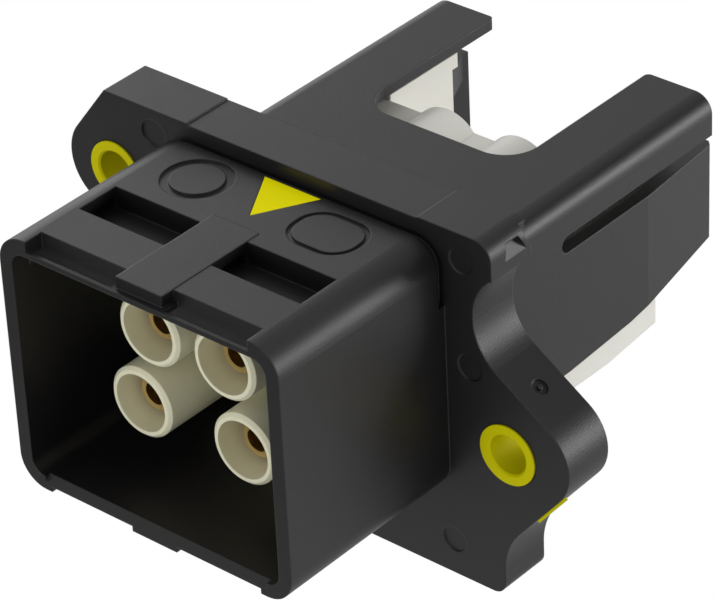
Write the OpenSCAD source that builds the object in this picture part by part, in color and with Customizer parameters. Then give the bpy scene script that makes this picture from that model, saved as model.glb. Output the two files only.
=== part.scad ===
// Panel-mount rectangular power connector: a black housing with a shrouded
// mouth, a flange with two screw sleeves and a rear cage, and in it a contact
// insert with socket contacts, locked by a retainer in a slide-in carrier.
// Origin: on the mating axis, in the flange's front face. +X right,
// -Y towards the mating plug, +Z up.

/* [Part shown] */
// which sub-part is drawn

/* [Shroud] */
// outer width of the shroud
shroud_w = 35.26; // [33:0.02:37]
// outer height of the shroud
shroud_h = 28.8; // [28:0.1:30]
// how far the shroud stands out in front of the flange
shroud_len = 23.5; // [22:0.1:26]
// side and bottom wall of the shroud
shroud_wall = 1.55; // [1.2:0.05:1.8]
// top wall of the shroud behind its mouth
top_wall = 3.1; // [2.9:0.1:3.4]
// top wall of the shroud at its mouth
lip_wall = 1.75; // [1.6:0.05:2.2]
// outer corner radius of the shroud
shroud_r = 3.2; // [2:0.1:4]
// width of the raised strip along the middle of the top and bottom
strip_w = 5.8; // [4:0.1:7]
// how far that strip stands up from the top
strip_rise = 0.06; // [0.04:0.02:0.2]
// where the raised part ends, in front of the flange
strip_end = 9.15; // [8:0.05:10]
// distance from the middle to the outer end of each latch block
block_reach = 14; // [12:0.1:14.3]
// setback of the latch blocks behind the mouth
block_setback = 2.3; // [1.5:0.1:3]
// setback of the strip's end behind the mouth
strip_setback = 0.7; // [0.4:0.1:1.2]
// height of the ledge and front bar under the top face
ledge_drop = 1.2; // [0.9:0.1:1.3]
// width of the ledge in front of the strip
ledge_w = 6.8; // [5:0.1:8]
// thickness of the front bar, front to back
bar_t = 0.5; // [0.3:0.1:1]
// depth of the latch pockets
pocket_depth = 2.4; // [1.5:0.1:2.5]
// length of the latch pockets, front to back
pocket_len = 5.1; // [4.2:0.1:6]
// setback of the latch pockets behind the mouth
pocket_setback = 7.5; // [6:0.1:9]
// reach of the undercut beside each pocket
undercut = 1.4; // [0.8:0.1:1.8]
// height of that undercut
undercut_h = 1.35; // [0.8:0.05:1.6]
// width of the groove between shroud and flange
neck_groove_w = 0.8; // [0.4:0.1:1.2]
// depth of the groove between shroud and flange
neck_groove_d = 0.6; // [0.3:0.1:1]
// depth of the bottom face's recess beside its strip
bottom_recess = 0.6; // [0.3:0.05:0.8]
// half width of that recess, out to its outer end
recess_reach = 13.65; // [12:0.05:14.3]
// height and length of the lead-in at the mouth's lower edge
lead_in = 0.7; // [0.4:0.1:0.8]
// outer diameter of the ring groove in the top
ring_d = 7.4; // [6:0.1:8]
// distance of the ring's centre left of the middle
ring_x = 8.55; // [7.5:0.05:9.5]
// distance of the ring's centre in front of the flange
ring_y = 5.2; // [5:0.1:6]
// width of the ring groove
ring_w = 0.9; // [0.4:0.1:1.2]
// length of the long groove right of the middle
badge_len = 8.1; // [7:0.1:9]
// outer width of the long groove's oval
badge_h = 6.5; // [6:0.1:7]
// distance of the oval's centre right of the middle
badge_x = 8.1; // [7.5:0.1:9]
// distance of the oval's centre in front of the flange
badge_y = 5.25; // [5:0.05:6]
// width of the long groove
badge_w = 0.5; // [0.3:0.1:0.8]
// depth of both grooves
badge_depth = 0.25; // [0.1:0.05:0.4]

/* [Flange] */
// thickness of the flange
flange_t = 6.1; // [5:0.1:8]
// height of the flange's top edge above the mating axis
flange_top = 16; // [15.5:0.1:17]
// depth of the flange's bottom edge below the mating axis
flange_bottom = 24.1; // [23:0.1:26]
// how far the corner pad's side lies outside the waist
pad_reach = 2.4; // [2:0.05:2.8]
// height of the corner pad's lower edge
pad_z = 12; // [11.5:0.1:12.8]
// corner radius of the corner pad
pad_r = 2; // [1:0.1:2.5]
// width of the pad's lower edge, outside the hollow curve
pad_lip = 0.15; // [0.1:0.05:0.6]
// how far the waist above each ear lies outside the cage
waist_margin = 2.95; // [2.6:0.05:3.4]
// radius of the hollow curves at the waist
waist_r = 6; // [5:0.1:7]
// how far the foot's side lies outside the waist
foot_reach = 3.15; // [2.6:0.05:3.6]
// radius of the hollow curve between ear and foot
foot_curve_r = 8; // [6:0.5:9]
// corner radius of the foot
foot_r = 1.5; // [0.5:0.1:2.5]
// distance of the right ear's tip curve outside its sleeve's axis
right_tip_x = 2.2; // [1.8:0.1:2.6]
// height of that curve's centre above the sleeve's axis
right_tip_z = 0.41; // [0:0.01:0.8]
// radius of the right ear's tip curve
right_tip_r = 5.16; // [4.5:0.02:5.5]
// slope of the right ear's lower side
right_rise = 50.5; // [47:0.1:53]
// distance of the left ear's tip curve outside its sleeve's axis
left_tip_x = 0.87; // [0.5:0.01:1.2]
// height of that curve's centre above the sleeve's axis
left_tip_z = 0.25; // [0:0.05:0.6]
// radius of the left ear's tip curve
left_tip_r = 5.3; // [5:0.1:5.6]
// slope of the left ear's upper side
left_rise = 52.5; // [50:0.1:55]
// slope of the ear sides that run to the waist
ear_fall = 33.7; // [30:0.1:38]
// setback of the top face's middle portion
top_setback = 0.15; // [0.05:0.05:0.3]
// distance from the middle to the end of that portion
top_setback_x = 14.6; // [12:0.1:16]
// depth of the round ejector marks in the front face
mark_depth = 0.15; // [0.05:0.05:0.3]
// diameter of the gate mark on the right ear's upper side
gate_d = 1.7; // [1:0.1:2.2]
// depth of the gate mark
gate_depth = 0.3; // [0.1:0.05:0.5]
// distance of the gate mark from the ear's tip curve
gate_back = 4; // [3:0.1:5]
// setback of the gate mark behind the flange's front
gate_y = 3; // [2.5:0.1:3.5]
// depth of the finger notch in the corner pad's side
notch_depth = 0.9; // [0.5:0.1:1.2]

/* [Rear cage] */
// outer width of the cage
cage_w = 36.2; // [35.8:0.1:36.6]
// height of the cage's top face above the mating axis
cage_top = 10.35; // [10.2:0.05:10.8]
// depth of the cage's lower edge below the mating axis
cage_bottom = 10.1; // [9.9:0.1:11]
// thickness of the cage's roof
roof_t = 1.26; // [1:0.02:1.4]
// thickness of the cage's side walls
side_t = 1.5; // [1.3:0.05:1.6]
// radius along the cage's top edges
cage_r = 2.1; // [1.5:0.1:2.5]
// where the roof's arms end
arm_end = 42.3; // [41:0.1:43]
// where the side wings end
wing_end = 43.8; // [43.2:0.1:45]
// how far the wings lean inwards at their ends
wing_lean = 1; // [0.5:0.1:1.4]
// how much thicker the wings are at their ends
wing_swell = 0.7; // [0.3:0.1:1]
// corner radius of the arms' inner rear corners
arm_r = 0.6; // [0.3:0.1:1]
// front edge of the cut-out in the roof
cutout_y = 20.3; // [19:0.1:22]
// width of the cut-out in the roof
cutout_w = 19.9; // [18:0.1:21]
// corner radius of the cut-out in the roof
cutout_r = 3.9; // [2:0.1:5]
// how far the hooks on the wings bite over the carrier's walls
hook_bite = 0.6; // [0.4:0.1:1]
// front end of the slits between arms and wings
slit_y = 17.5; // [16:0.1:19]
// lower and upper edge of the slits
slit_z = [3.95, 5.85]; // [3:0.05:7]

/* [Contact insert] */
// half spacing of the upper contacts
upper_x = 4.8; // [4.6:0.05:5]
// height of the upper contacts above the mating axis
upper_z = 4.6; // [4.4:0.05:4.8]
// half spacing of the lower contacts
lower_x = 6.6; // [6.3:0.05:6.8]
// depth of the lower contacts below the mating axis
lower_z = 4.35; // [4.2:0.05:4.6]
// outer diameter of the contact towers
tower_d = 7.8; // [7.6:0.1:8]
// inner diameter of the towers' mouths
tower_bore_d = 6.3; // [6:0.1:6.5]
// depth of the towers' mouths
tower_bore_depth = 8.5; // [7:0.1:10]
// chamfer round the towers' rims
rim_chamfer = 0.35; // [0.1:0.05:0.5]
// how far the towers' rims stand in front of the flange
tower_len = 17.3; // [16:0.1:18.5]
// where the insert's collar ends
collar_end = 10.5; // [9:0.1:12]

/* [Contact retainer] */
// diameter of the retainer's round ridges over the upper contacts
tube_d = 8.8; // [8.4:0.1:9.2]
// height of the ridges' axes above the mating axis
tube_z = 3.35; // [3:0.05:3.6]
// rear end of the retainer
retainer_end = 28.1; // [26:0.1:29]
// height of the retainer's top above the mating axis
block_top = 6.1; // [5.6:0.1:6.4]
// depth of the retainer below the mating axis
block_bottom = 9.4; // [9:0.1:9.9]
// thickness of the shelves over the carrier's walls
shelf_t = 1; // [0.8:0.1:1.4]
// how far the shelves reach past the carrier's walls
shelf_reach = 0.3; // [0.1:0.1:0.6]

/* [Carrier] */
// outer width of the carrier
carrier_w = 27.8; // [27:0.1:29]
// wall of the carrier
carrier_t = 1.35; // [1:0.05:1.5]
// height of the carrier's walls above the mating axis
carrier_top = 6.7; // [6.2:0.1:7.5]
// depth of the carrier's floor below the mating axis
carrier_bottom = 17.1; // [16:0.1:18]
// rear end of the carrier
carrier_end = 38.3; // [37:0.1:39]
// how far the top of its walls reaches further back
carrier_tail = 0.9; // [0.5:0.1:1.2]
// height of those tails
carrier_tail_h = 1.7; // [1:0.1:2]
// thickness of the carrier's floor
carrier_floor = 1.55; // [1.2:0.05:1.8]
// how much the floor rises towards its front end
floor_nose = 0.3; // [0.1:0.1:0.5]
// how much the floor rises towards its rear end
floor_lift = 0.8; // [0.4:0.1:1.2]

/* [Contacts] */
// bore of the contacts, for the mating pins
socket_d = 2.5; // [2.4:0.05:2.6]
// outer diameter of the contacts' sockets
contact_d = 4.2; // [4:0.05:4.4]
// depth of the contacts' bores
socket_depth = 9; // [7:0.5:11]
// setback of the contacts behind the towers' rims
contact_setback = 2.1; // [1.5:0.1:3]
// diameter of the contacts' collars
collar_d = 5.2; // [4.8:0.1:5.6]
// length of the contacts' collars
collar_len = 2.4; // [1:0.1:2.4]
// rear end of the contacts
contact_end = 25.5; // [22:0.5:27]
// outer diameter of the contacts' crimp barrels
barrel_d = 3.4; // [3:0.1:3.8]
// bore of the contacts' crimp barrels
barrel_bore_d = 2.3; // [2:0.1:2.6]
// depth of the crimp barrels' bores
barrel_depth = 7; // [5:0.5:9]
// chamfers at the sockets' front edges
contact_chamfer = 0.3; // [0.1:0.05:0.4]

/* [Sleeves, marker and seal] */
// outer diameter of the screw sleeves
sleeve_d = 6.6; // [6.2:0.1:7]
// bore of the screw sleeves
sleeve_bore_d = 4.3; // [4.2:0.1:4.6]
// how far the sleeves' axes lie outside the waist
sleeve_reach = 3.85; // [3.6:0.05:4.2]
// depth of the right sleeve below the mating axis; the left one lies opposite
sleeve_z = 6.95; // [6.6:0.05:7.2]
// how far the sleeves' front ends stand out of the flange
sleeve_proud = 0.15; // [0.05:0.05:0.3]
// chamfer at both ends of the sleeves' bores
sleeve_chamfer = 0.2; // [0.1:0.05:0.3]
// width of the tab under the right sleeve
tab_w = 4.6; // [3:0.1:5]
// how far the tab lies off the sleeve's axis, along the ear's edge
tab_shift = 0.7; // [0:0.1:1.2]
// how far the tab stands out under the ear
tab_proud = 0.3; // [0.1:0.05:0.5]
// setback of the tab behind the flange's front
tab_y = 0.3; // [0.2:0.05:0.5]
// thickness of the tab, front to back
tab_t = 0.8; // [0.5:0.1:1.2]
// thickness of its neck from the sleeve
neck_t = 1.5; // [1:0.1:2]
// width of the marker's base
marker_w = 7.1; // [6:0.1:8]
// length of the marker from base to tip
marker_len = 6.2; // [5:0.1:7]
// distance from the flange to the marker's base
marker_y = 1; // [0.9:0.1:1.5]
// thickness of the marker
marker_t = 0.8; // [0.5:0.1:1]
// width of the seal's cord
seal_w = 1.4; // [1.2:0.1:1.6]
// thickness of the seal
seal_t = 1.5; // [1.3:0.1:1.8]
// how far the seal stands out of the flange's rear face
seal_proud = 0.3; // [0.1:0.05:0.5]

/* [Clearances] */
// between the insert's collar and the cage
insert_clear = 0.15; // [0.1:0.05:0.3]
// round the carrier, the retainer and the insert's rear
carrier_clear = 0.1; // [0.05:0.05:0.2]
// around inlaid pieces, contacts and the seal
inlay_clear = 0.03; // [0.02:0.01:0.06]

/* [Hidden] */
$fn = 64;
eps = 0.01;
dip = 0.004;                                 // how far hollow curves dip under the sides they join
inner_w = shroud_w - 2*shroud_wall;
inner_bottom = shroud_h/2 - shroud_wall;
inner_r = shroud_r - shroud_wall;
top_z = shroud_h/2;
mouth_y = -shroud_len;
floor_t = 2;                                 // plate behind the shroud's cavity
boss_y = 3;                                  // front of the insert's boss in the cavity
window = [22.6, 18.4];                       // opening in that plate
window_clear = 0.3;                          // round the boss in that opening
cage_in = cage_w/2 - side_t;                 // inner face of the cage's side walls
ceiling = cage_top - roof_t;
up_side = [sin(ear_fall), cos(ear_fall)];    // outward normal of an ear's waist side
waist_x = cage_w/2 + waist_margin;
pad_x = waist_x + pad_reach;
foot_x = waist_x + foot_reach;
sleeve_at = [waist_x + sleeve_reach, -sleeve_z];
right_tip = sleeve_at + [right_tip_x, right_tip_z];
left_tip = [-left_tip_x, left_tip_z] - sleeve_at;
ring_at = [-ring_x, -ring_y];
badge_at = [badge_x, -badge_y];
badge = [badge_len, badge_h];
gate_at = right_tip + right_tip_r*up_side + gate_back*[-up_side[1], up_side[0]];
pad_notch = [[2.2, 13.2], [5.3, 13.2], [4.3, 14.9], [2.4, 14.9]];  // y and z
pad_step = [[5.2, 15.5], [flange_t + 1, 15.5], [flange_t + 1, 12.9], [6.3, 12.9], [5.2, 14.3]];
hook_y = carrier_end + carrier_clear;        // front faces of the hooks
hook_z = 0.8;                                // lower edges of the hooks
hook_tip = carrier_w/2 - hook_bite;
lean_y = slit_y + 14;                        // where the wings start to lean
wing_in = cage_in - wing_lean - wing_swell;  // inner faces of the wings' ends
wing_round = 0.5;                            // corners at the wings' ends
wing_foot = [[slit_y + 1, 0], [23.5, 0.3], [28.5, 0.6], [32.7, 1.25],
             [wing_end - wing_round, 2.95], [wing_end, 3.4]];  // lower edge: y, rise
retainer_y = collar_end + carrier_clear;     // the retainer's front face
retainer_in = carrier_w/2 - carrier_t - carrier_clear;
wall_low = block_top - shelf_t - carrier_clear;  // carrier's walls beside the retainer
collar_z = [-cage_bottom + 0.3, ceiling - insert_clear];
contact_front = contact_setback - tower_len;
shoulder_y = 8;                              // where the contacts' collars seat
seal_in = [cage_w + 1.6, 35.2];
seal_mid_z = -4;
contacts = [[-upper_x, upper_z], [upper_x, upper_z], [-lower_x, -lower_z], [lower_x, -lower_z]];
ejector_marks = [[-19.2, 13.2, 1.57], [19.8, 13, 1.4], [20.5, 1.3, 1.45], [17.9, -20, 1.4]];

black = [0.13, 0.13, 0.135];
pebble = [0.82, 0.82, 0.78];
ivory = [0.88, 0.88, 0.87];
gold = [0.85, 0.68, 0.32];
yellow = [0.90, 0.88, 0.05];
grey_rubber = [0.25, 0.25, 0.26];

// an XZ outline drawn in the flange's plane, from depth y0 to depth y1
module xz(y0, y1) { translate([0, y1, 0]) rotate([90, 0, 0]) linear_extrude(y1 - y0) children(); }

// a YZ outline, from x0 to x1
module yz(x0, x1) { translate([x0, 0, 0]) rotate([90, 0, 90]) linear_extrude(x1 - x0) children(); }

// a cone on a contact's or sleeve's axis, from radius r0 at depth y0 to r1 at y1
module cone(at, y0, y1, r0, r1) {
    translate([at[0], y0, at[1]]) rotate([-90, 0, 0]) cylinder(h = y1 - y0, r1 = r0, r2 = r1);
}

// a box between two opposite corners
module box(a, b) { translate(a) cube(b - a); }

// a rectangle between two opposite corners, with round corners
module round_rect(a, b, r) {
    translate([a[0] + r, a[1]]) square([b[0] - a[0] - 2*r, b[1] - a[1]]);
    translate([a[0], a[1] + r]) square([b[0] - a[0], b[1] - a[1] - 2*r]);
    for (x = [a[0] + r, b[0] - r], z = [a[1] + r, b[1] - r]) translate([x, z]) circle(r);
}

// what fills the corner at p beside a round of radius r centred on c, which meets the
// corner's two sides at a and b
module corner_fill(p, a, b, c, r) {
    past = 1 + 2*dip/r;
    difference() {
        polygon([p, c + past*(a - c), c, c + past*(b - c)]);
        translate(c) circle(r + dip);
    }
}

// an ear of the flange, pointing to +x: its tip, its waist side and its hollow curve
module ear(tip, r, rise) {
    low_side = [sin(rise), -cos(rise)];
    up_k = tip*up_side + r;
    low_k = tip*low_side + r;
    up_corner = [waist_x, (up_k - up_side[0]*waist_x)/up_side[1]];
    low_corner = [waist_x, (low_side[0]*waist_x - low_k)/-low_side[1]];
    curve_x = waist_x + waist_r;
    curve_mid = [curve_x, (up_k + waist_r - up_side[0]*curve_x)/up_side[1]];
    polygon([[0, up_corner[1]], up_corner, tip + r*up_side, tip, tip + r*low_side,
             low_corner, [0, low_corner[1]]]);
    translate(tip) circle(r);
    corner_fill(up_corner - [eps, eps], [waist_x, curve_mid[1]],
                curve_mid - waist_r*up_side, curve_mid, waist_r);
}

// the hollow curve between the right ear's lower side and the foot
module foot_curve() {
    low_side = [sin(right_rise), -cos(right_rise)];
    low_k = right_tip*low_side + right_tip_r;
    curve_x = foot_x + foot_curve_r;
    curve_mid = [curve_x, (low_side[0]*curve_x - low_k - foot_curve_r)/-low_side[1]];
    corner = [foot_x, (low_side[0]*foot_x - low_k)/-low_side[1]];
    corner_fill(corner + [-eps, eps], curve_mid - foot_curve_r*low_side,
                [foot_x, curve_mid[1]], curve_mid, foot_curve_r);
}

// the pad at the flange's right corner, with the hollow curve up from the waist
module pad() {
    curve_w = pad_x - pad_lip - waist_x;
    curve_h = sqrt(pow(waist_r, 2) - pow(waist_r - curve_w, 2));
    difference() {
        translate([waist_x - 1, pad_z - curve_h])
            square([pad_x - waist_x + 1, curve_h + pad_r/2]);
        translate([waist_x + waist_r, pad_z - curve_h]) circle(waist_r);
    }
    translate([0, pad_z]) square([pad_x, flange_top - pad_z - pad_r]);
    translate([0, pad_z]) square([pad_x - pad_r, flange_top - pad_z]);
    translate([pad_x - pad_r, flange_top - pad_r]) circle(pad_r);
}

module flange_outline() {
    translate([-waist_x, -flange_bottom]) square([2*waist_x, flange_top + flange_bottom]);
    pad();
    // the right foot
    translate([0, -flange_bottom]) square([foot_x - foot_r, 8]);
    translate([0, foot_r - flange_bottom]) square([foot_x, 8 - foot_r]);
    translate([foot_x - foot_r, foot_r - flange_bottom]) circle(foot_r);
    ear(right_tip, right_tip_r, right_rise);
    foot_curve();
    // the left foot is the pad turned over, and the left ear runs up to the top edge
    translate([0, flange_top - flange_bottom]) rotate(180) pad();
    intersection() {
        rotate(180) ear(-left_tip, left_tip_r, left_rise);
        translate([-50, -flange_bottom]) square([50, flange_top + flange_bottom]);
    }
}

// the shroud's cavity, its mouth and what is cut into its top and bottom
module shroud_cuts() {
    xz(mouth_y - 1, 0)
        round_rect([-inner_w/2, -inner_bottom], [inner_w/2, top_z - top_wall], inner_r);
    xz(mouth_y - 1, mouth_y + block_setback)
        round_rect([-inner_w/2, -inner_bottom], [inner_w/2, top_z - lip_wall], inner_r);
    for (side = [0, 1]) mirror([side, 0, 0]) {
        // the gap in front of each latch block, behind and above the front bar
        box([ledge_w/2, mouth_y + bar_t, top_z - top_wall - 1],
            [block_reach, mouth_y + block_setback, top_z + 1]);
        box([ledge_w/2 - eps, mouth_y - 1, top_z - ledge_drop],
            [block_reach, mouth_y + block_setback, top_z + 1]);
        // the gap beside the strip's end, above the ledge
        box([strip_w/2, mouth_y - 1, top_z - ledge_drop],
            [ledge_w/2, mouth_y + block_setback, top_z + 1]);
        box([strip_w/2 - eps, mouth_y + pocket_setback, top_z - pocket_depth],
            [block_reach, mouth_y + pocket_setback + pocket_len, top_z + 1]);
        box([strip_w/2, mouth_y - 1, -top_z - 1],
            [recess_reach, -flange_t, bottom_recess - top_z]);
    }
    box([-strip_w/2 - eps, mouth_y - 1, top_z - ledge_drop],
        [strip_w/2 + eps, mouth_y + strip_setback, top_z + 1]);
    // undercuts in the left wall of both pockets
    for (x = [-block_reach, strip_w/2])
        box([x - undercut, mouth_y + pocket_setback, top_z - pocket_depth],
            [x + eps, mouth_y + pocket_setback + pocket_len - 0.3,
             top_z - pocket_depth + undercut_h]);
    // the lead-in along the mouth's lower edge
    yz(inner_r - inner_w/2, inner_w/2 - inner_r)
        polygon([[mouth_y - 1, -inner_bottom - lead_in], [mouth_y, -inner_bottom - lead_in],
                 [mouth_y + lead_in, -inner_bottom], [mouth_y + lead_in, 0], [mouth_y - 1, 0]]);
    // the ring and the long oval groove in the top
    translate([0, 0, top_z - badge_depth]) linear_extrude(1) {
        translate(ring_at) difference() {
            circle(ring_d/2);
            circle(ring_d/2 - ring_w);
        }
        translate(badge_at) difference() {
            round_rect(-badge/2, badge/2, badge_h/2 - 0.3);
            round_rect([badge_w, badge_w] - badge/2, badge/2 - [badge_w, badge_w],
                       badge_h/2 - badge_w - 0.3);
        }
    }
    // the groove round the shroud's root, over the top and its corners
    xz(-neck_groove_w, 0) difference() {
        translate([-shroud_w/2 - 1, shroud_h/4]) square([shroud_w + 2, shroud_h]);
        round_rect([neck_groove_d - shroud_w/2, neck_groove_d - top_z],
                   [shroud_w/2 - neck_groove_d, top_z - neck_groove_d], shroud_r - neck_groove_d);
    }
    marker_inlay(inlay_clear);
}

// the marker's prism, grown by a clearance
module marker_inlay(grow) {
    translate([0, 0, top_z - marker_t - grow]) linear_extrude(marker_t + grow + (grow > 0 ? 1 : 0))
        polygon([[-marker_w/2 - 1.5*grow, grow - marker_y], [marker_w/2 + 1.5*grow, grow - marker_y],
                 [0, -marker_y - marker_len - 2*grow]]);
}

// the tab under the right ear and its neck from the sleeve, grown by a clearance
module tab_shape(grow) {
    low_side = [sin(right_rise), -cos(right_rise)];
    reach = (right_tip - sleeve_at)*low_side + right_tip_r;
    translate([sleeve_at[0], tab_y, sleeve_at[1]]) rotate([0, 90 - right_rise, 0]) {
        box([0, tab_t/2 - grow, -tab_w/4 - tab_shift - grow],
            [reach - tab_proud + grow, tab_t/2 + neck_t + grow,
             tab_w/4 - tab_shift + grow]);
        box([reach - tab_t - grow, -grow, -tab_w/2 - tab_shift - grow],
            [reach + tab_proud, tab_t + grow, tab_w/2 - tab_shift + grow]);
    }
}

module flange() {
    difference() {
        xz(0, flange_t) flange_outline();
        box([-top_setback_x, -1, flange_top - top_setback],
            [top_setback_x, flange_t + 1, flange_top + 1]);
        for (m = ejector_marks) xz(-1, mark_depth) translate([m[0], m[1]]) circle(m[2]);
        // the sloping finger notch in the right corner's side, and the step behind it
        intersection() {
            yz(pad_x - pad_r, pad_x + 1) polygon(pad_notch);
            xz(0, flange_t) polygon([[pad_x, pad_notch[0][1]], [pad_x + 1, pad_notch[0][1]],
                                     [pad_x + 1, pad_notch[2][1]],
                                     [pad_x - notch_depth, pad_notch[2][1]]]);
        }
        yz(pad_x - notch_depth, pad_x + 1) polygon(pad_step);
        // the gate mark on the right ear's upper side, a shallow pit round a nub
        translate([gate_at[0], gate_y, gate_at[1]]) rotate([0, ear_fall, 0]) difference() {
            cylinder(d = gate_d, h = 2*gate_depth, center = true);
            cylinder(d = gate_d/3, h = 3*gate_depth, center = true);
        }
        tab_shape(inlay_clear);
        xz(flange_t - seal_t + seal_proud, flange_t + 1) seal_outline(inlay_clear);
    }
}

// one wing of the cage at the right: a side wall that leans in and swells behind the slit
module wing() {
    intersection() {
        linear_extrude(100, center = true)
            polygon([[cage_in, slit_y - 2], [cage_w/2, slit_y - 2], [cage_w/2, lean_y],
                     [cage_w/2 - wing_lean, wing_end - wing_round],
                     [cage_w/2 - wing_lean - wing_round, wing_end], [wing_in, wing_end],
                     [cage_in, lean_y]]);
        yz(0, cage_w) polygon(concat([[0, -cage_bottom]],
                                     [for (p = wing_foot) [p[0], p[1] - cage_bottom]],
                                     [[wing_end, slit_z[0]], [0, slit_z[0]]]));
    }
    // the hook behind the carrier, with a ramp back to the wing's end
    translate([0, 0, hook_z]) linear_extrude(slit_z[0] - hook_z)
        polygon([[cage_in, hook_y], [hook_tip, hook_y], [hook_tip, hook_y + hook_bite],
                 [wing_in + wing_round, wing_end], [cage_in - wing_lean, wing_end]]);
}

module cage() {
    difference() {
        xz(flange_t - eps, arm_end) difference() {
            union() {
                round_rect([-cage_w/2, 0], [cage_w/2, cage_top], cage_r);
                translate([-cage_w/2, -cage_bottom]) square([cage_w, cage_bottom + cage_r]);
            }
            translate([-cage_in, -cage_bottom - 1]) square([2*cage_in, ceiling + cage_bottom + 1]);
        }
        // behind the slit's front end, only the arms above it remain
        box([-cage_w, slit_y + 1, -cage_bottom - 1], [cage_w, arm_end + 1, slit_z[0]]);
        box([-cage_w, slit_y + (slit_z[1] - slit_z[0])/2, slit_z[0] - eps],
            [cage_w, arm_end + 1, slit_z[1]]);
        translate([-cage_w, slit_y + (slit_z[1] - slit_z[0])/2, (slit_z[0] + slit_z[1])/2])
            rotate([0, 90, 0]) cylinder(d = slit_z[1] - slit_z[0], h = 2*cage_w);
        linear_extrude(cage_top + 1) {
            round_rect([-cutout_w/2, cutout_y], [cutout_w/2, arm_end + 10], cutout_r);
            for (side = [0, 1]) mirror([side, 0])
                corner_fill([cutout_w/2 - eps, arm_end + eps], [cutout_w/2 + arm_r, arm_end],
                            [cutout_w/2, arm_end - arm_r],
                            [cutout_w/2 + arm_r, arm_end - arm_r], arm_r);
        }
    }
    difference() {
        for (side = [0, 1]) mirror([side, 0, 0]) wing();
        translate([-cage_w, slit_y + (slit_z[1] - slit_z[0])/2, (slit_z[0] + slit_z[1])/2])
            rotate([0, 90, 0]) cylinder(d = slit_z[1] - slit_z[0], h = 2*cage_w);
    }
}

module housing() {
    color(black) difference() {
        union() {
            xz(mouth_y, eps)
                round_rect([-shroud_w/2, -shroud_h/2], [shroud_w/2, shroud_h/2], shroud_r);
            box([-strip_w/2, mouth_y, 0], [strip_w/2, -strip_end, top_z + strip_rise]);
            flange();
            cage();
        }
        shroud_cuts();
        xz(-1, floor_t + 1) translate(-window/2) square(window);
        xz(floor_t, flange_t) translate([-cage_in, -cage_bottom])
            square([2*cage_in, ceiling + cage_bottom]);
        for (at = [sleeve_at, -sleeve_at])
            xz(-1, flange_t + 1) translate(at) circle(sleeve_d/2 + inlay_clear);
    }
}

// the insert: four towers in front of a collar that fits the cage
module contact_insert() {
    color(pebble) difference() {
        union() {
            for (c = contacts) {
                xz(rim_chamfer - tower_len, floor_t) translate(c) circle(tower_d/2);
                cone(c, -tower_len, rim_chamfer - tower_len, tower_d/2 - rim_chamfer, tower_d/2);
            }
            xz(-boss_y, floor_t + insert_clear + eps)
                round_rect([window_clear, window_clear] - window/2,
                           window/2 - [window_clear, window_clear], 1);
            xz(floor_t + insert_clear, collar_end)
                translate([insert_clear - cage_in, collar_z[0]])
                    square([2*(cage_in - insert_clear), collar_z[1] - collar_z[0]]);
        }
        for (c = contacts) {
            xz(-tower_len - 1, tower_bore_depth - tower_len) translate(c) circle(tower_bore_d/2);
            xz(-tower_len, shoulder_y + eps) translate(c) circle(contact_d/2 + inlay_clear);
            xz(shoulder_y, collar_end + 1) translate(c) circle(collar_d/2 + inlay_clear);
        }
    }
}

// the retainer: a block behind the insert with two round ridges and a shelf on each side
module contact_retainer() {
    color(ivory) difference() {
        xz(retainer_y, retainer_end) {
            translate([-retainer_in, -block_bottom])
                square([2*retainer_in, block_top + block_bottom]);
            translate([-carrier_w/2 - shelf_reach, block_top - shelf_t])
                square([carrier_w + 2*shelf_reach, shelf_t]);
            for (x = [-upper_x, upper_x]) translate([x, tube_z]) circle(tube_d/2);
        }
        for (c = contacts)
            xz(retainer_y - 1, retainer_end + 1) translate(c) circle(barrel_d/2 + inlay_clear);
    }
}

// the carrier: a tray that slides in under the retainer, its walls up both sides
module carrier() {
    front = retainer_y;
    tail_z = carrier_top - carrier_tail_h;
    behind = retainer_end + carrier_clear;
    color(ivory) difference() {
        yz(-carrier_w/2, carrier_w/2)
            polygon([[front, floor_nose - carrier_bottom], [behind + 2, -carrier_bottom],
                     [carrier_end, floor_lift - carrier_bottom], [carrier_end, tail_z],
                     [carrier_end + carrier_tail, tail_z],
                     [carrier_end + carrier_tail, carrier_top], [behind, carrier_top],
                     [behind, wall_low], [front, wall_low]]);
        box([carrier_t - carrier_w/2, front + carrier_t, carrier_floor - carrier_bottom],
            [carrier_w/2 - carrier_t, carrier_end + 5, carrier_top + 1]);
        box([carrier_t - carrier_w/2, front - 1, -block_bottom - carrier_clear],
            [carrier_w/2 - carrier_t, front + 5, carrier_top + 1]);
    }
}

// a socket contact on its axis: a closed socket, a collar and a crimp barrel
module contact(at) {
    seat = shoulder_y + inlay_clear;
    color(gold) difference() {
        union() {
            cone(at, contact_front, contact_front + contact_chamfer,
                 contact_d/2 - contact_chamfer, contact_d/2);
            xz(contact_front + contact_chamfer, seat + eps) translate(at) circle(contact_d/2);
            xz(seat, seat + collar_len) translate(at) circle(collar_d/2);
            xz(seat + collar_len - eps, contact_end) translate(at) circle(barrel_d/2);
        }
        xz(contact_front - 1, contact_front + socket_depth) translate(at) circle(socket_d/2);
        xz(contact_end - barrel_depth, contact_end + 1) translate(at) circle(barrel_bore_d/2);
    }
}

module contact_top_left() { contact(contacts[0]); }
module contact_top_right() { contact(contacts[1]); }
module contact_bottom_left() { contact(contacts[2]); }
module contact_bottom_right() { contact(contacts[3]); }

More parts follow.
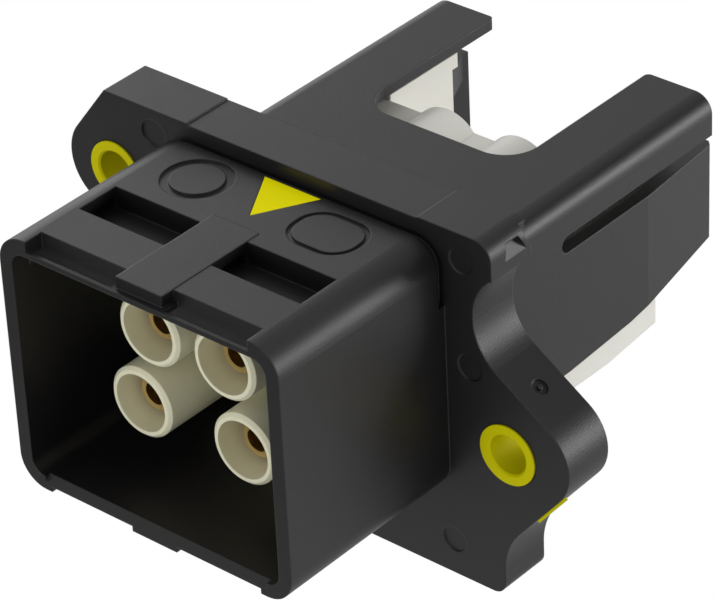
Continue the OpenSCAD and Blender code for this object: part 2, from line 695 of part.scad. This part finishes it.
// a screw sleeve with chamfered ends, flush with the flange's rear face
module sleeve(at) {
    mouth_r = sleeve_bore_d/2 + sleeve_chamfer;
    difference() {
        xz(-sleeve_proud, flange_t) translate(at) circle(sleeve_d/2);
        xz(-1, flange_t + 1) translate(at) circle(sleeve_bore_d/2);
        cone(at, -sleeve_proud - eps, sleeve_chamfer - sleeve_proud,
             mouth_r + eps, sleeve_bore_d/2);
        cone(at, flange_t - sleeve_chamfer, flange_t + eps, sleeve_bore_d/2, mouth_r + eps);
    }
}

module sleeve_left() { color(yellow) sleeve(-sleeve_at); }

module sleeve_right() {
    color(yellow) {
        sleeve(sleeve_at);
        difference() {
            tab_shape(0);
            xz(-1, flange_t) translate(sleeve_at) circle(sleeve_d/2 - eps);
        }
    }
}

module marker() { color(yellow) marker_inlay(0); }

// the outline of the panel seal, grown by a clearance
module seal_outline(grow) {
    low = [-seal_in[0]/2, seal_mid_z - seal_in[1]/2];
    difference() {
        round_rect(low - [seal_w + grow, seal_w + grow],
                   [-low[0], 2*seal_mid_z - low[1]] + [seal_w + grow, seal_w + grow], 3);
        round_rect(low + [grow, grow], [-low[0], 2*seal_mid_z - low[1]] - [grow, grow], 1.6);
    }
}

module panel_seal() {
    color(grey_rubber) xz(flange_t + seal_proud + inlay_clear - seal_t, flange_t + seal_proud)
        seal_outline(0);
}

housing();
contact_insert();
contact_retainer();
carrier();
contact_top_left();
contact_top_right();
contact_bottom_left();
contact_bottom_right();
sleeve_left();
sleeve_right();
marker();
panel_seal();
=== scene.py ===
"""A panel-mount rectangular power connector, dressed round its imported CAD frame.

Everything is in metres in the frame's own axes: +X right, -Y towards the
mating plug, +Z up, with the origin on the mating axis in the flange's face.
"""
import bpy
import math
from mathutils import Matrix, Vector

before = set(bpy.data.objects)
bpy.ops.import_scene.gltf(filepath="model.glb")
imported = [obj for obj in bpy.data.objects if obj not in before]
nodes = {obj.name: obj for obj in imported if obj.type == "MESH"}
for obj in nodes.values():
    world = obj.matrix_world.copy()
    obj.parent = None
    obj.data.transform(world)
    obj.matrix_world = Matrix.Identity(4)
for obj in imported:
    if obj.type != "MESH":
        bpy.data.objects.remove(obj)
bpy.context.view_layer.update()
MM = 0.001

# ---------------------------------------------------------------- camera
# A long lens at table distance looks down on the mouth and the right ear.
camera = bpy.data.objects.new("camera", bpy.data.cameras.new("camera"))
bpy.context.scene.collection.objects.link(camera)
bpy.context.scene.camera = camera
azimuth, elevation, roll = math.radians(41.766), math.radians(32.888), math.radians(-2.879)
aim = Vector((2.225, 5.0, -0.688)) * MM
back = Vector((math.sin(azimuth) * math.cos(elevation),
               -math.cos(azimuth) * math.cos(elevation), math.sin(elevation)))
level = Vector((math.cos(azimuth), math.sin(azimuth), 0.0))
upright = back.cross(level)
right = level * math.cos(roll) + upright * math.sin(roll)
camera.matrix_world = Matrix.Translation(aim + back * 392.31 * MM) @ Matrix(
    (right, back.cross(right), back)).transposed().to_4x4()
camera.data.sensor_width = 36.0
camera.data.lens = 200.58
camera.data.clip_start = 0.01

# ---------------------------------------------------------------- studio
# A white table well below the held part, a white room, and soft lamps on the
# right, low on the right, behind on the left and in front. One black card close
# above the rear right edge and one low in front are seen in reflections alone.
floor_mesh = bpy.data.meshes.new("table")
floor_mesh.from_pydata([(-3, -3, -0.09), (3, -3, -0.09), (3, 3, -0.09), (-3, 3, -0.09)],
                       [], [(0, 1, 2, 3)])
floor = bpy.data.objects.new("table", floor_mesh)
bpy.context.scene.collection.objects.link(floor)
paper = bpy.data.materials.new("white_paper")
paper.use_nodes = True
tree = paper.node_tree
tree.nodes.clear()
matt = tree.nodes.new("ShaderNodeBsdfDiffuse")
matt.inputs["Color"].default_value = (0.8, 0.8, 0.8, 1)
glow = tree.nodes.new("ShaderNodeEmission")
glow.inputs["Strength"].default_value = 1.06
seen = tree.nodes.new("ShaderNodeLightPath")
mix = tree.nodes.new("ShaderNodeMixShader")
share = tree.nodes.new("ShaderNodeMath")
share.operation = "MULTIPLY"
share.inputs[1].default_value = 0.85
tree.links.new(seen.outputs["Is Camera Ray"], share.inputs[0])
tree.links.new(share.outputs[0], mix.inputs["Fac"])
tree.links.new(matt.outputs[0], mix.inputs[1])
tree.links.new(glow.outputs[0], mix.inputs[2])
tree.links.new(mix.outputs[0], tree.nodes.new("ShaderNodeOutputMaterial").inputs["Surface"])
floor_mesh.materials.append(paper)

world = bpy.data.worlds.new("studio")
bpy.context.scene.world = world
world.use_nodes = True
tree = world.node_tree
tree.nodes.clear()
room = tree.nodes.new("ShaderNodeBackground")
room.inputs["Strength"].default_value = 0.80
white = tree.nodes.new("ShaderNodeBackground")
white.inputs["Strength"].default_value = 1.06
seen = tree.nodes.new("ShaderNodeLightPath")
mix = tree.nodes.new("ShaderNodeMixShader")
tree.links.new(seen.outputs["Is Camera Ray"], mix.inputs["Fac"])
tree.links.new(room.outputs[0], mix.inputs[1])
tree.links.new(white.outputs[0], mix.inputs[2])
tree.links.new(mix.outputs[0], tree.nodes.new("ShaderNodeOutputWorld").inputs["Surface"])


def soft_lamp(name, place, size, power):
    """A square area lamp at place, in metres, that faces the part."""
    light = bpy.data.lights.new(name, "AREA")
    light.size = size
    light.energy = power
    lamp = bpy.data.objects.new(name, light)
    lamp.location = place
    lamp.rotation_euler = (Vector(place) * -1).to_track_quat("-Z", "Y").to_euler()
    bpy.context.scene.collection.objects.link(lamp)


soft_lamp("right_lamp", (0.8, 0.95, 0.06), 0.6, 8.5)
soft_lamp("low_right_lamp", (0.24, 0.28, -0.03), 0.2, 0.16)
soft_lamp("rear_left_lamp", (-1.05, 0.58, 0.42), 0.6, 2.5)
soft_lamp("front_lamp", (-0.05, -1.0, 0.12), 0.4, 2.4)

felt = bpy.data.materials.new("black_felt")
felt.use_nodes = True
felt.node_tree.nodes["Principled BSDF"].inputs["Base Color"].default_value = (0.01, 0.01, 0.01, 1)
felt.node_tree.nodes["Principled BSDF"].inputs["Roughness"].default_value = 1.0
for name, middle, facing, half in (
        ("rear_card", Vector((0.049, 0.067, 0.043)), Vector((0.52, 0.63, 0.54)), 0.021),
        ("front_card", Vector((-0.14, -0.19, -0.088)), Vector((0, 0.02, 1)), 0.11)):
    across = facing.cross(Vector((1, 0, 0))).normalized() * half
    along = across.cross(facing).normalized() * half
    mesh = bpy.data.meshes.new(name)
    mesh.from_pydata([middle - across - along, middle + across - along,
                      middle + across + along, middle - across + along], [], [(0, 1, 2, 3)])
    mesh.materials.append(felt)
    card = bpy.data.objects.new(name, mesh)
    bpy.context.scene.collection.objects.link(card)
    card.visible_camera = card.visible_diffuse = card.visible_shadow = False

bpy.context.scene.view_settings.view_transform = "Standard"


# ---------------------------------------------------------------- housing
# One glass-filled black moulding: shroud, flange and rear cage. Its faces
# carry the fine matt grain of a spark-eroded mould and its edges are soft.
def moulded(name, colour, roughness, grain_mm, grain_depth, edge_mm, uneven=0.12):
    """A moulded plastic: principled shader whose roughness and colour drift
    with a broad noise, with a fine noise as bump and edges rounded by edge_mm."""
    material = bpy.data.materials.new(name)
    material.use_nodes = True
    tree = material.node_tree
    shader = tree.nodes["Principled BSDF"]
    coords = tree.nodes.new("ShaderNodeTexCoord").outputs["Object"]

    broad = tree.nodes.new("ShaderNodeTexNoise")
    broad.inputs["Scale"].default_value = 90.0
    broad.inputs["Detail"].default_value = 4.0
    tree.links.new(coords, broad.inputs["Vector"])
    tint = tree.nodes.new("ShaderNodeMix")
    tint.data_type = "RGBA"
    tint.inputs["A"].default_value = [c * (1 - uneven) for c in colour] + [1]
    tint.inputs["B"].default_value = [c * (1 + uneven) for c in colour] + [1]
    tree.links.new(broad.outputs["Fac"], tint.inputs["Factor"])
    tree.links.new(tint.outputs["Result"], shader.inputs["Base Color"])
    gloss = tree.nodes.new("ShaderNodeMapRange")
    gloss.inputs["To Min"].default_value = roughness - 0.06
    gloss.inputs["To Max"].default_value = roughness + 0.06
    tree.links.new(broad.outputs["Fac"], gloss.inputs["Value"])
    tree.links.new(gloss.outputs["Result"], shader.inputs["Roughness"])

    grain = tree.nodes.new("ShaderNodeTexNoise")
    grain.inputs["Scale"].default_value = 1.0 / (grain_mm * MM)
    grain.inputs["Detail"].default_value = 3.0
    tree.links.new(coords, grain.inputs["Vector"])
    edge = tree.nodes.new("ShaderNodeBevel")
    edge.samples = 6
    edge.inputs["Radius"].default_value = edge_mm * MM
    bump = tree.nodes.new("ShaderNodeBump")
    bump.inputs["Strength"].default_value = 1.0
    bump.inputs["Distance"].default_value = grain_depth * MM
    tree.links.new(grain.outputs["Fac"], bump.inputs["Height"])
    tree.links.new(edge.outputs[0], bump.inputs["Normal"])
    tree.links.new(bump.outputs[0], shader.inputs["Normal"])
    return material


def dress(node, material):
    """Gives a CAD node its material in every slot."""
    mesh = nodes[node].data
    mesh.materials.clear()
    mesh.materials.append(material)


black = moulded("black_moulding", (0.0062, 0.0056, 0.0062), 0.42, 0.16, 0.022, 0.2)
dress("housing", black)

# ---------------------------------------------------------------- insert
# A smooth pebble-grey moulding: four towers in the mouth on a collar that
# fits the cage.
pebble = moulded("pebble_moulding", (0.78, 0.76, 0.56), 0.38, 0.5, 0.004, 0.18, 0.03)
pebble.node_tree.nodes["Principled BSDF"].inputs["Subsurface Weight"].default_value = 0.15
pebble.node_tree.nodes["Principled BSDF"].inputs["Subsurface Radius"].default_value = (
    0.0009, 0.0008, 0.0006)
dress("contact_insert", pebble)

# ---------------------------------------------------------------- carrier
# An off-white tray that slides in from behind, under and beside the retainer,
# and is held by the cage's latch arms.
off_white = moulded("off_white_moulding", (0.76, 0.75, 0.69), 0.4, 0.5, 0.004, 0.2, 0.02)
dress("carrier", off_white)

# ---------------------------------------------------------------- retainer
# The same off-white plastic: a block with rounded humps over its bores, which
# locks the contacts in from behind.
dress("contact_retainer", off_white)

# ---------------------------------------------------------------- contacts
# Turned brass sockets with a gold plate and a closed round mouth. Fine turning
# rings along the axis vary the polish.
gold = bpy.data.materials.new("gold_plate")
gold.use_nodes = True
tree = gold.node_tree
shader = tree.nodes["Principled BSDF"]
shader.inputs["Metallic"].default_value = 1.0
shader.inputs["Base Color"].default_value = (0.83, 0.62, 0.28, 1)
coords = tree.nodes.new("ShaderNodeTexCoord").outputs["Object"]
turning = tree.nodes.new("ShaderNodeTexWave")
turning.bands_direction = "Y"
turning.inputs["Scale"].default_value = 1500.0
turning.inputs["Distortion"].default_value = 1.5
tree.links.new(coords, turning.inputs["Vector"])
polish = tree.nodes.new("ShaderNodeMapRange")
polish.inputs["To Min"].default_value = 0.16
polish.inputs["To Max"].default_value = 0.32
tree.links.new(turning.outputs["Fac"], polish.inputs["Value"])
tree.links.new(polish.outputs["Result"], shader.inputs["Roughness"])
for contact in ("contact_top_left", "contact_top_right",
                "contact_bottom_left", "contact_bottom_right"):
    dress(contact, gold)

# ---------------------------------------------------------------- screw sleeves
# Satin yellow mouldings that carry the panel screws; the right one has a tab
# that shows under its ear.
yellow = moulded("yellow_moulding", (0.56, 0.52, 0.0), 0.5, 0.4, 0.006, 0.12, 0.03)
yellow.node_tree.nodes["Principled BSDF"].inputs["Specular IOR Level"].default_value = 0.05
for piece in ("sleeve_left", "sleeve_right"):
    dress(piece, yellow)

# ---------------------------------------------------------------- marker
# A brighter yellow triangle set flush into the shroud's top, with its point
# towards the plug.
signal = moulded("marker_moulding", (0.93, 0.85, 0.0), 0.5, 0.4, 0.006, 0.08, 0.02)
signal.node_tree.nodes["Principled BSDF"].inputs["Specular IOR Level"].default_value = 0.02
dress("marker", signal)

# ---------------------------------------------------------------- seal
# A dark rubber cord in the groove in the flange's back, which would press on
# the panel.
rubber = moulded("seal_rubber", (0.03, 0.03, 0.032), 0.7, 0.3, 0.01, 0.3)
dress("panel_seal", rubber)
